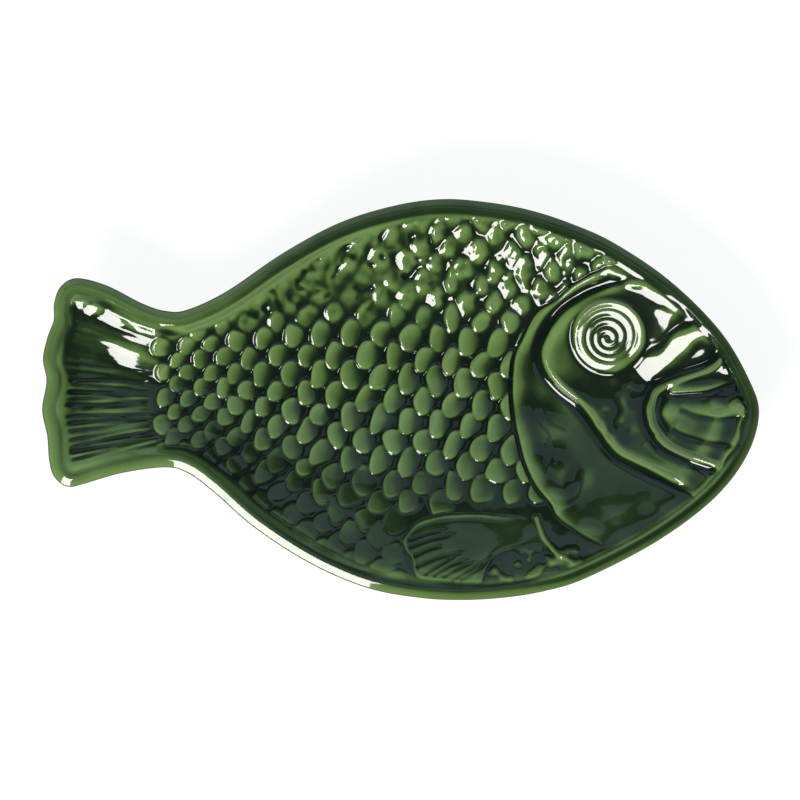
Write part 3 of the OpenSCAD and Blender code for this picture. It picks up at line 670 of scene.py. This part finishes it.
def moulded():
    """Relief above the dish, the piece number of each raster point and where the pieces lie."""
    tail, tail_region = tail_field()
    lift, gill, head, gill_d, head_d = gill_and_head()
    fin, fin_region, fin_d = fin_field()
    eye, eye_region = eye_field()
    mouth, mouth_region = mouth_field()
    throat = throat_field(fin_d)
    relief = scale_field() * fade(gill_d, 0.3, -0.9) * fade(fin_d, -0.2, -1.7)
    relief *= 1 - fade(XX, 34, 42) * fade(YY, -58, -64)
    relief = np.where(fin_region, fin, relief)
    relief = np.where(tail_region, tail + relief, relief)
    relief = np.where(gill, face(lift, head_d), relief) + eye + mouth + throat
    shelf = line_through(XX, SHELF_EDGE)
    relief = relief * fade(RIM_IN - shelf, 0, SHELF_RUN) + tail_pleats()
    rows = lattice_rows()
    label = np.where(rows > ROW_SPLIT, N_BACK, np.where(rows < -ROW_SPLIT, N_BELLY, N_FLANK))
    for region, number in (
        (tail_region | (XX < TAIL_PIECE_X), N_TAIL),
        (gill, N_GILL),
        (head, N_HEAD),
        (eye_region, N_EYE),
        (mouth_region & gill, N_MOUTH),
        (fin_region, N_FIN),
        ((throat > THROAT_LEAST) & ~fin_region & ~gill, N_THROAT),
    ):
        label = np.where(region, number, label)
    return relief, label, RIM_IN > shelf - COVER_EXTRA


# reach and height of the unevenness of the hand-shaped surface
HAND_REACH, HAND_HIGH = (3.2, 9.0), (0.07, 0.28)


def handmade():
    """Slight unevenness of a surface shaped and glazed by hand."""
    fields = rough_fields("handmade", *HAND_REACH)
    return sum(high * field for high, field in zip(HAND_HIGH, fields))


# height of the rim under its top, by the distance from the edge
LIP_PROFILE = [(0.0, -2.4), (0.15, -2.05), (0.5, -1.72), (3.4, -0.3), (4.2, -0.1), (7.0, -0.9)]
BELLY_FULLER = [(4.0, 0), (4.7, 0.25), (7.0, 0)]
THROAT_LINE_HIGH, THROAT_LINE_DEEP = 0.45, 0.4


def throat_rim(x, y):
    """1 along the rim under the cheek, where the groove lies further out."""
    return fade(x, 55, 80) * fade(y, -22, -37)


def lip_height(d, x, y):
    """Height of the rim at distance d from the edge: a bevel, a crest and a fall, fuller on the belly side."""
    fuller = line_through(d, BELLY_FULLER) * fade(y, 0, -40)
    line = THROAT_LINE_HIGH * bell(d - 6.0, 0.9) - THROAT_LINE_DEEP * bell(d - 3.5, 1.0)
    return TOP_Z + line_through(d, LIP_PROFILE) + fuller + line * throat_rim(x, y)


def dish_surface():
    """The plain dish from the lip to the floor of the well, and the distance inside the groove."""
    groove_d = near(np.vstack([GROOVE, GROOVE[:1]]), 14)[0]
    edge_d = near(np.vstack([EDGE, EDGE[:1]]), 14)[0]
    in_groove, in_edge = inside(GROOVE), inside(EDGE)
    d = np.where(in_edge, GROOVE_IN * edge_d / np.maximum(edge_d + groove_d, 1e-6), 0)
    base = np.where(in_groove, well_z(XX, YY), lip_height(d, XX, YY))
    return base, np.where(in_groove, groove_d, -groove_d)


WELL_SOFT, RELIEF_SOFT, COVER_SOFT = 0.5, 0.35, 0.9
HEAD_CALM = 0.7
BASE, RIM_IN = dish_surface()
RELIEF, LABEL, COVER = moulded()
RELIEF = np.minimum(RELIEF, np.maximum(HEIGHT - RELIEF_CLEAR - BASE, 0))
WELL = blur(BASE, WELL_SOFT)
CALM = HEAD_CALM * fade(XX, 80, 95) * fade(YY, -20, 0)
SURFACE = WELL + blur(RELIEF, RELIEF_SOFT) + handmade() * fade(RIM_IN, -1, 3) * (1 - CALM)

# thickness of the glaze: pockets and creases hold more of it, proud edges less.
# Gain and reach of the fine and the broad pockets, and the gain of single pieces
FINE_POOL, BROAD_POOL = (0.4, 1.2), (0.62, 4.2)
POOL_GAIN = {N_BACK: 1.1, N_FLANK: 1.15, N_MOUTH: 1.6, N_FIN: 0.8}
GAIN_SOFT = 1.5
THIN_PIECES, THIN_BY = (N_BACK, N_FLANK, N_TAIL, N_MOUTH), 0.07
BACK_LOSS, BACK_THIN = 0.2, 0.1
SHELF_THIN, TAIL_TOP_THICK, THROAT_THICK = 0.4, 0.35, 0.2
# the last of these darkens an oval patch on the lower head
TAIL_FLANK_THIN, TAIL_BORDER_THIN, LOW_HEAD_DARKER = 0.06, 0.2, 0.16
# thickness across the rim, and how much thinner it is at the tail, on the belly lip and along the throat line
RIM_STOPS = [(-7, -0.1), (-5.5, -0.16), (-3.6, -0.02), (-1, 0.1), (1, 0.1)]
TAIL_RIM_THIN, BELLY_LIP_THIN = 0.26, 0.16
THROAT_GROOVE_THICK, THROAT_LINE_THIN = 0.16, 0.42
POOL_RANGE = (-0.75, 1)


def rim_pool():
    """Glaze on the rim, darkest at the back and the nose."""
    pale_tail = TAIL_RIM_THIN * fade(XX, -30, -120)
    pale_lip = BELLY_LIP_THIN * fade(YY, -62, -82) * fade(RIM_IN, -2.5, -4.0)
    pale_lip = pale_lip * np.interp(XX, (20, 90), (1, 0.35))
    line = THROAT_GROOVE_THICK * bell(RIM_IN + 3.5, 1.0) - THROAT_LINE_THIN * bell(RIM_IN + 0.9, 0.9)
    return line_through(RIM_IN, RIM_STOPS) - np.maximum(pale_tail, pale_lip) + line * throat_rim(XX, YY)


def well_pool():
    """Glaze on the moulded fish."""
    pool = sum(gain * (blur(SURFACE, reach) - SURFACE) for gain, reach in (FINE_POOL, BROAD_POOL))
    pool *= blur(np.select([LABEL == k for k in POOL_GAIN], list(POOL_GAIN.values()), 1.0), GAIN_SOFT)
    back = fade(lattice_rows(), *BACK_ROWS) * blur((LABEL == N_BACK).astype(float), 2.0)
    pool = pool * (1 - BACK_LOSS * back) - BACK_THIN * back - THIN_BY * np.isin(LABEL, THIN_PIECES)
    shelf = bell(RIM_IN - 2.2, 2.6) * fade(XX, 20, -40) * fade(YY, -10, 30)
    tail_top = fade(XX, -100, -115) * fade(YY, 5, 20)
    pool -= SHELF_THIN * shelf * (1 - tail_top)
    pool += TAIL_TOP_THICK * bell(RIM_IN - 3.2, 2.0) * tail_top
    pool += THROAT_THICK * throat_rim(XX, YY) * bell(RIM_IN - 2.2, 1.3)
    pool -= TAIL_FLANK_THIN * fade(XX, -72, -87) * (LABEL == N_FLANK)
    pool -= TAIL_BORDER_THIN * bell(RIM_IN - 1.5, 3.0) * fade(XX, -142, -152)
    # darker over an oval patch on the lower head
    return pool + LOW_HEAD_DARKER * oval((0.58, -0.04), 22, 20, 0.3, 2.0) * (LABEL == N_HEAD)


IN_WELL = fade(RIM_IN, -0.5, 2.0)
POOL = np.clip(well_pool() * IN_WELL + rim_pool() * (1 - IN_WELL), *POOL_RANGE)
COVER_SHARE = blur(COVER.astype(float), COVER_SOFT)
SLOPE_Y, SLOPE_X = np.gradient(SURFACE, STEP)
NORMALS = unit(np.stack([-SLOPE_X, -SLOPE_Y, np.ones_like(SLOPE_X)], axis=-1))


def sample(field, x, y):
    """Value of a raster field at plan points."""
    fx, fy = (x - GX[0]) / STEP, (y - GY[0]) / STEP
    i = np.clip(fx.astype(int), 0, NX - 2)
    j = np.clip(fy.astype(int), 0, NY - 2)
    u, v = fx - i, fy - j
    low = field[j, i] * (1 - u) + field[j, i + 1] * u
    high = field[j + 1, i] * (1 - u) + field[j + 1, i + 1] * u
    return low * (1 - v) + high * v


# meshes of the pieces
def add_object(name, data):
    """A new object in the scene."""
    made = bpy.data.objects.new(name, data)
    bpy.context.scene.collection.objects.link(made)
    return made


def add_piece(name, verts, faces, normals, pool, material, node):
    """A mesh piece from points in millimetres and arrays of faces, standing for a node of the part."""
    mesh = bpy.data.meshes.new(name)
    sizes = np.concatenate([np.full(len(f), f.shape[1]) for f in faces])
    loops = np.concatenate([f.ravel() for f in faces]).astype(np.int32)
    mesh.vertices.add(len(verts))
    mesh.vertices.foreach_set("co", (np.asarray(verts) * MM).astype(np.float32).ravel())
    mesh.loops.add(len(loops))
    mesh.loops.foreach_set("vertex_index", loops)
    mesh.polygons.add(len(sizes))
    starts = np.concatenate([[0], np.cumsum(sizes)[:-1]]).astype(np.int32)
    mesh.polygons.foreach_set("loop_start", starts)
    mesh.polygons.foreach_set("use_smooth", np.ones(len(sizes), bool))
    mesh.update(calc_edges=True)
    mesh.validate()
    shade = mesh.attributes.new("pool", "FLOAT", "POINT")
    shade.data.foreach_set("value", np.asarray(pool, np.float32))
    if normals is not None:
        mesh.normals_split_custom_set_from_vertices(np.asarray(normals, np.float32).tolist())
    mesh.materials.append(material)
    piece = add_object(name, mesh)
    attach(piece, "root")
    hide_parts(node)


def ring_faces(count, joined):
    """Quads between count rings. The last ring is joined to the first, or strips close both."""
    i = np.arange(COLUMNS)
    j = (i + 1) % COLUMNS
    starts = [k * COLUMNS for k in range(count)] + [0] * joined
    quads = [np.stack([a + i, b + i, b + j, a + j], axis=1) for a, b in zip(starts, starts[1:])]
    faces = [np.vstack(quads)]
    if joined:
        return faces
    half = COLUMNS // 2
    k = np.arange(1, half - 1)
    strip = (NOSE + np.stack([k, k + 1, -k - 1, -k], axis=1)) % COLUMNS
    ends = (NOSE + np.array([[0, 1, -1], [half - 1, half, 1 - half]])) % COLUMNS
    return faces + [strip, ends, strip[:, ::-1] + starts[-1], ends[:, ::-1] + starts[-1]]


def ring_normals(rings):
    """Smooth normals of a stack of closed rings."""
    around = np.roll(rings, -1, 1) - np.roll(rings, 1, 1)
    across = np.gradient(rings, axis=0)
    return unit(np.cross(across, around))


def climb(a, b, z):
    """Share of the way from a to b at which the well reaches height z."""
    low, high = np.zeros(len(a)), np.ones(len(a))
    for _ in range(24):
        u = (low + high) / 2
        p = a + (b - a) * u[:, None]
        over = well_z(p[:, 0], p[:, 1]) > z
        high, low = np.where(over, u, high), np.where(over, low, u)
    return (low + high) / 2


CORE_LINE = middle(EDGE, CORE)
FOOT_OUTER = CORE_LINE + (GROOVE - CORE_LINE) * climb(CORE_LINE, GROOVE, FOOT_H + WALL)[:, None]
FOOT_INNER = FOOT_OUTER + FOOT_W * unit(CORE_LINE - FOOT_OUTER)
FOOT_SOFT, FOOT_SUNK = 0.8, 0.3


def lay(plan, z):
    """Plan points at height z."""
    return np.concatenate([plan, np.broadcast_to(np.asarray(z, float), (len(plan),))[:, None]], axis=1)


def under(plan):
    """Points on the underside of the wall."""
    return lay(plan, well_z(plan[:, 0], plan[:, 1]) - WALL)


# distances of the lip's rings from the edge, and which rings from the first of them carry the brownish-grey
# edge line
LIP_STEPS = (0.0, 0.07, 0.15, 0.32, 0.5, 0.8, 1.2, 1.8, 2.4, 3.0, 3.6, 4.1, 4.5)
EDGE_RINGS = (-3, 5)
UNDER_POOL, EDGE_POOL = -0.05, -0.95
# how far the well's rings reach: in steps inside the groove, and as shares of the way to the spine
BAND = np.linspace(0.5, 14, 27)
DEEP = np.linspace(0.06, 1, 12)[1:]
BAND_SHARE, DEEP_SHARE = 0.45, 0.97
# how far the dish dips under the pieces, and the pieces reach into the dish
HIDDEN_DROP, PIECE_DROP, MARGIN_DROP = 1.2, 0.9, 0.81


def outside_rings():
    """Rings of the underside, inside and outside the foot ring, and round the lower half of the lip."""
    rings = [under(CORE_LINE + (FOOT_INNER - CORE_LINE) * u) for u in np.linspace(0.15, 1, 12)]
    rings += [under(FOOT_OUTER + (GROOVE - FOOT_OUTER) * u) for u in np.linspace(0, 1, 24)]
    for a in np.radians(np.linspace(-60, -6, 8)):
        rings.append(lay(EDGE + LIP_W * (1 - math.cos(a)) * INWARD, TOP_Z - LIP_R * (1 - math.sin(a))))
    return rings


def well_plans():
    """Plan rings from the inner side of the lip to the spine of the well."""
    spine = middle(EDGE, SPINE)
    span = np.linalg.norm(GROOVE - spine, axis=1)[:, None]
    start = np.minimum(BAND[-1] / span, BAND_SHARE)
    plans = [EDGE + d * INWARD for d in np.linspace(LIP_W, GROOVE_IN, 9)]
    plans += [GROOVE + (spine - GROOVE) * np.minimum(d / span, BAND_SHARE) for d in BAND]
    return plans + [GROOVE + (spine - GROOVE) * (start + (DEEP_SHARE - start) * t) for t in DEEP]


def build_dish(material):
    """The dish: underside, rolled lip, groove and the well under the moulded fish."""
    rings = outside_rings()
    first_lip = len(rings)
    rings += [lay(EDGE + d * INWARD, lip_height(d, EDGE[:, 0], EDGE[:, 1])) for d in LIP_STEPS]
    shown, buried = list(rings), list(rings)
    for plan in well_plans():
        x, y = plan[:, 0], plan[:, 1]
        top, well = sample(SURFACE, x, y), sample(WELL, x, y)
        hide = fade(sample(COVER_SHARE, x, y), 0.5, 1)
        shown.append(lay(plan, top))
        buried.append(lay(plan, top * (1 - hide) + (well - HIDDEN_DROP) * hide))
    normals = ring_normals(np.array(shown)).reshape(-1, 3)
    verts = np.array(buried).reshape(-1, 3)
    pool = sample(POOL, verts[:, 0], verts[:, 1])
    first, last = [(first_lip + k) * COLUMNS for k in EDGE_RINGS]
    pool[:first] = UNDER_POOL
    # a brownish-grey line along the outer edge of the lip
    pool[first:last] = EDGE_POOL
    faces = ring_faces(len(buried), joined=False)
    add_piece("dish_glazed", verts, faces, normals, pool, material, "dish")


def build_foot(material):
    """The bare ring under the dish, with softened arrises."""
    bevel = 0.25 * FOOT_SOFT
    steps = [(0.0, FOOT_H + FOOT_SUNK), (0.0, FOOT_SOFT), (bevel, bevel), (FOOT_SOFT, 0.0)]
    rings = [lay(FOOT_OUTER + d * unit(FOOT_INNER - FOOT_OUTER), z) for d, z in steps]
    rings += [lay(FOOT_INNER + d * unit(FOOT_OUTER - FOOT_INNER), z) for d, z in steps[::-1]]
    rings = np.array(rings)[::-1]
    faces = ring_faces(len(rings), joined=True)
    add_piece("foot_ring_bare", rings.reshape(-1, 3), faces, None,
              np.zeros(len(rings) * COLUMNS), material, "foot_ring")


PIECES = {
    N_BACK: ("back_scales_glazed", "back_scales"),
    N_FLANK: ("flank_scales_glazed", "flank_scales"),
    N_BELLY: ("belly_scales_glazed", "belly_scales"),
    N_TAIL: ("tail_fan_glazed", "tail_fan"),
    N_GILL: ("gill_cover_glazed", "gill_cover"),
    N_HEAD: ("head_glazed", "head"),
    N_EYE: ("eye_spiral_glazed", "eye_spiral"),
    N_MOUTH: ("mouth_glazed", "mouth"),
    N_FIN: ("pectoral_fin_glazed", "pectoral_fin"),
    N_THROAT: ("throat_folds_glazed", "throat_folds"),
}
LEAST_COVER = 0.08


def build_moulded(material):
    """One closed piece for each part of the moulded fish, cut from the same surface."""
    fields = XX, YY, SURFACE, WELL, POOL, NORMALS, COVER_SHARE, LABEL
    x, y, surface, well, pool, normals, cover, label = (f[::STRIDE, ::STRIDE] for f in fields)
    dip = fade(cover, 0.5, 0) * (surface - well + MARGIN_DROP)
    top = np.stack([x, y, surface - dip], axis=-1).reshape(-1, 3)
    low = np.stack([x, y, well - PIECE_DROP], axis=-1).reshape(-1, 3)
    held = cover > LEAST_COVER
    cells = held[:-1, :-1] & held[1:, 1:] & held[1:, :-1] & held[:-1, 1:]
    rows, cols = x.shape
    number = np.arange(rows * cols).reshape(rows, cols)
    for key, (name, node) in PIECES.items():
        own = cells & (label[:-1, :-1] == key)
        pad = np.pad(own, 1)
        j, i = np.nonzero(own)
        corners = number[j, i], number[j, i + 1], number[j + 1, i + 1], number[j + 1, i]
        used = np.zeros(rows * cols, bool)
        used[np.concatenate(corners)] = True
        count = int(used.sum())
        index = np.full(rows * cols, -1)
        index[used] = np.arange(count)
        a, b, c, d = (index[corner] for corner in corners)
        tops = np.stack([a, b, c, d], axis=1)
        sides = []
        for p, q, dj, di in ((a, b, -1, 0), (b, c, 0, 1), (c, d, 1, 0), (d, a, 0, -1)):
            free = ~pad[j + 1 + dj, i + 1 + di]
            sides.append(np.stack([p[free] + count, q[free] + count, q[free], p[free]], axis=1))
        up = normals.reshape(-1, 3)[used]
        shade = pool.ravel()[used]
        add_piece(name, np.vstack([top[used], low[used]]), [tops, tops[:, ::-1] + count, np.vstack(sides)],
                  np.vstack([up, -up]), np.concatenate([shade, shade]), material, node)


# materials
GLAZE_STOPS = [
    (0.0, (0.085, 0.085, 0.050)),
    (0.08, (0.120, 0.150, 0.070)),
    (0.2, (0.165, 0.270, 0.085)),
    (0.3, (0.130, 0.220, 0.062)),
    (0.40, (0.080, 0.145, 0.036)),
    (0.5, (0.022, 0.048, 0.012)),
    (0.6, (0.007, 0.017, 0.006)),
    (1.0, (0.002, 0.006, 0.004)),
]
GLAZE_ROUGHNESS, GLAZE_IOR, POOL_TO_RAMP = 0.07, 1.52, 0.5
CLAY_STOPS = [(0.3, (0.34, 0.24, 0.15)), (0.5, (0.52, 0.41, 0.28)), (0.75, (0.62, 0.51, 0.38))]
CLAY_ROUGHNESS = 0.85
# scale and detail of the noises, strength and height of the bumps
CLOUDS, CLOUD_RANGE = (55, 3), (0.44, 0.56)
WAVES, WAVE_BUMP = (160, 1), (0.12, 0.0004)
SPECKS, SPECK_BUMP = (900, 4), (0.3, 0.0003)


def node_material(name):
    """A new material, its node tree, its shader and the coordinates of the object."""
    material = bpy.data.materials.new(name)
    material.use_nodes = True
    tree = material.node_tree
    place = tree.nodes.new("ShaderNodeTexCoord").outputs["Object"]
    return material, tree, tree.nodes["Principled BSDF"], place


def ramp(tree, source, stops):
    """Colours along a ramp that source runs through."""
    node = tree.nodes.new("ShaderNodeValToRGB")
    elements = node.color_ramp.elements
    while len(elements) < len(stops):
        elements.new(0.5)
    for element, (place, colour) in zip(elements, stops):
        element.position = place
        element.color = (*colour, 1)
    tree.links.new(source, node.inputs["Fac"])
    return node.outputs["Color"]


def noise(tree, place, scale, detail):
    """Noise of a given scale in the coordinates of the object."""
    node = tree.nodes.new("ShaderNodeTexNoise")
    node.inputs["Scale"].default_value = scale
    node.inputs["Detail"].default_value = detail
    tree.links.new(place, node.inputs["Vector"])
    return node.outputs["Fac"]


def add_bump(tree, shader, height, strength, distance):
    """Fine unevenness of the surface."""
    node = tree.nodes.new("ShaderNodeBump")
    node.inputs["Strength"].default_value = strength
    node.inputs["Distance"].default_value = distance
    tree.links.new(height, node.inputs["Height"])
    tree.links.new(node.outputs["Normal"], shader.inputs["Normal"])


def glaze_material():
    """Glossy green glaze, dark where it pools and paler where it runs thin."""
    material, tree, shader, place = node_material("green_glaze")
    pool = tree.nodes.new("ShaderNodeAttribute")
    pool.attribute_name = "pool"
    cloud = tree.nodes.new("ShaderNodeMapRange")
    cloud.inputs["To Min"].default_value, cloud.inputs["To Max"].default_value = CLOUD_RANGE
    tree.links.new(noise(tree, place, *CLOUDS), cloud.inputs["Value"])
    drift = tree.nodes.new("ShaderNodeMath")
    drift.operation = "MULTIPLY_ADD"
    drift.inputs[1].default_value = POOL_TO_RAMP
    tree.links.new(pool.outputs["Fac"], drift.inputs[0])
    tree.links.new(cloud.outputs["Result"], drift.inputs[2])
    tree.links.new(ramp(tree, drift.outputs["Value"], GLAZE_STOPS), shader.inputs["Base Color"])
    shader.inputs["Roughness"].default_value = GLAZE_ROUGHNESS
    shader.inputs["IOR"].default_value = GLAZE_IOR
    add_bump(tree, shader, noise(tree, place, *WAVES), *WAVE_BUMP)
    return material


def clay_material():
    """Bare fired clay with fine specks."""
    material, tree, shader, place = node_material("bare_clay")
    specks = noise(tree, place, *SPECKS)
    tree.links.new(ramp(tree, specks, CLAY_STOPS), shader.inputs["Base Color"])
    shader.inputs["Roughness"].default_value = CLAY_ROUGHNESS
    add_bump(tree, shader, specks, *SPECK_BUMP)
    return material


# studio, in metres
FLOOR_HALF, FLOOR_DROP = 20.0, 0.0002
FLOOR_COLOUR, FLOOR_GLOW = (0.25, 0.25, 0.25, 1), 0.9
SKY_BLUE, WARM_WHITE = (0.66, 0.9, 1.0), (1, 0.985, 0.95)
# name, place, width, height, radiance and colour of the light panels
PANELS = [
    ("key_panel", (-0.56, -0.94, 0.92), 0.62, 0.62, 20.0, WARM_WHITE),
    ("sky_panel", (0.2, 1.05, 3.4), 5.0, 2.7, 0.50, SKY_BLUE),
    ("far_panel", (0.0, 4.1, 2.8), 9.0, 1.5, 0.65, SKY_BLUE),
]
WORLD_COLOUR, WORLD_STRENGTH = (0.8, 0.92, 1.0, 1), 0.12
CAMERA_Z, CAMERA_FAR, SENSOR = 3.0, 60, 36
PIXELS_ACROSS, FISH_PIXELS = 800.0, 717.5
SHIFT_PIXELS = (-0.5, -0.3)


def combine(tree, operation, first, second):
    """A math node on a socket and another socket or a number."""
    node = tree.nodes.new("ShaderNodeMath")
    node.operation = operation
    tree.links.new(first, node.inputs[0])
    if isinstance(second, float):
        node.inputs[1].default_value = second
    else:
        tree.links.new(second, node.inputs[1])
    return node.outputs["Value"]


def floor_material():
    """A pale floor that takes shadows and looks white to the camera, in mirrors and through glass."""
    material, tree, _, _ = node_material("pale_floor")
    tree.nodes.clear()
    out = tree.nodes.new("ShaderNodeOutputMaterial")
    both = tree.nodes.new("ShaderNodeAddShader")
    matt = tree.nodes.new("ShaderNodeBsdfDiffuse")
    matt.inputs["Color"].default_value = FLOOR_COLOUR
    glow = tree.nodes.new("ShaderNodeEmission")
    path = tree.nodes.new("ShaderNodeLightPath").outputs
    seen = combine(tree, "MAXIMUM", path["Is Camera Ray"], path["Is Glossy Ray"])
    seen = combine(tree, "MAXIMUM", seen, path["Is Transmission Ray"])
    tree.links.new(combine(tree, "MULTIPLY", seen, FLOOR_GLOW), glow.inputs["Strength"])
    tree.links.new(matt.outputs["BSDF"], both.inputs[0])
    tree.links.new(glow.outputs["Emission"], both.inputs[1])
    tree.links.new(both.outputs["Shader"], out.inputs["Surface"])
    return material


def add_floor():
    mesh = bpy.data.meshes.new("floor")
    corners = [(x * FLOOR_HALF, y * FLOOR_HALF, 0) for x, y in ((-1, -1), (1, -1), (1, 1), (-1, 1))]
    mesh.from_pydata(corners, [], [(0, 1, 2, 3)])
    mesh.materials.append(floor_material())
    floor = add_object("floor", mesh)
    floor.location.z = -FLOOR_DROP


def add_panel(name, place, size_x, size_y, radiance, colour):
    """A soft light panel of an even brightness, turned to the middle of the frame."""
    data = bpy.data.lights.new(name, "AREA")
    data.shape = "RECTANGLE"
    data.size, data.size_y = size_x, size_y
    data.energy = radiance * math.pi * size_x * size_y
    data.color = colour
    lamp = add_object(name, data)
    lamp.location = place
    lamp.rotation_euler = (-Vector(place)).to_track_quat("-Z", "Y").to_euler()
    lamp.visible_camera = False


def add_lights():
    for panel in PANELS:
        add_panel(*panel)
    world = bpy.data.worlds.new("studio")
    bpy.context.scene.world = world
    world.use_nodes = True
    ground = world.node_tree.nodes["Background"]
    ground.inputs["Color"].default_value = WORLD_COLOUR
    ground.inputs["Strength"].default_value = WORLD_STRENGTH


def add_camera():
    """A camera straight above, that shows the platter at the photograph's scale."""
    data = bpy.data.cameras.new("camera")
    data.sensor_width = SENSOR
    reach = CAMERA_Z - (HEIGHT - LIP_R) * MM
    width = LENGTH * MM * PIXELS_ACROSS / FISH_PIXELS
    data.lens = data.sensor_width * reach / width
    data.shift_x, data.shift_y = (shift / PIXELS_ACROSS for shift in SHIFT_PIXELS)
    data.clip_end = CAMERA_FAR
    camera = add_object("camera", data)
    camera.location = (0, 0, CAMERA_Z)
    bpy.context.scene.camera = camera


glaze = glaze_material()
build_dish(glaze)
build_foot(clay_material())
build_moulded(glaze)
add_floor()
add_lights()
add_camera()
bpy.context.scene.view_settings.view_transform = "Standard"
